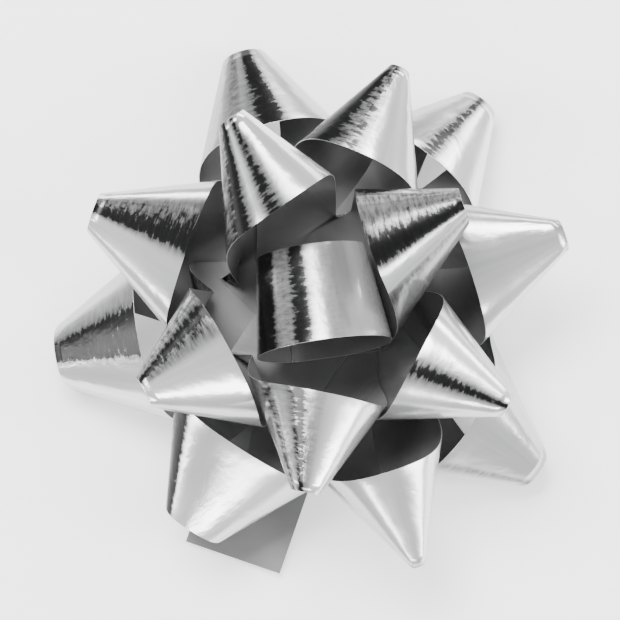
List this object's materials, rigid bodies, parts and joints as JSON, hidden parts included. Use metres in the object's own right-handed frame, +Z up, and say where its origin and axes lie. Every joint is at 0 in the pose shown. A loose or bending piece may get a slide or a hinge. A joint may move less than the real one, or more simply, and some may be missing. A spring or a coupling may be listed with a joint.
{
  "type": "star gift bow",
  "caption": "Ready-made star gift bow of one silver ribbon in pointed loops round a centre loop, stapled to a card disc with an adhesive pad and release liner.",
  "frame": {"origin": "on the bow's axis, at the underside of the release liner, where the bow rests", "axes": "+Z up along the bow's axis through the staple; +Y away from the viewer; the liner's pull tab points along +X"},
  "size_m": [0.0975, 0.1024, 0.0429],
  "materials": {
    "foil": "metallised film, mirror-like outside and dull grey inside",
    "card": "matte card",
    "wire": "galvanised wire",
    "foam": "matte foam coated with adhesive",
    "liner": "siliconised paper"
  },
  "bodies": {
    "bow": {"lower_loop_1": "foil", "lower_loop_2": "foil", "lower_loop_3": "foil", "lower_loop_4": "foil", "lower_loop_5": "foil", "middle_loop_1": "foil", "middle_loop_2": "foil", "middle_loop_3": "foil", "middle_loop_4": "foil", "upper_loop_1": "foil", "upper_loop_2": "foil", "upper_loop_3": "foil", "upper_loop_4": "foil", "upper_loop_5": "foil", "centre_loop": "foil", "ribbon_tail": "foil", "card_disc": "card", "staple": "wire", "adhesive_pad": "foam"},
    "liner": {"release_liner": "liner"}
  },
  "joints": [
    {"name": "liner_peel", "type": "hinge", "parent": "bow", "child": "liner", "pos_m": [-0.014, 0, 0.00012], "axis": [0, 1, 0], "range_deg": [0, 150]}
  ]
}
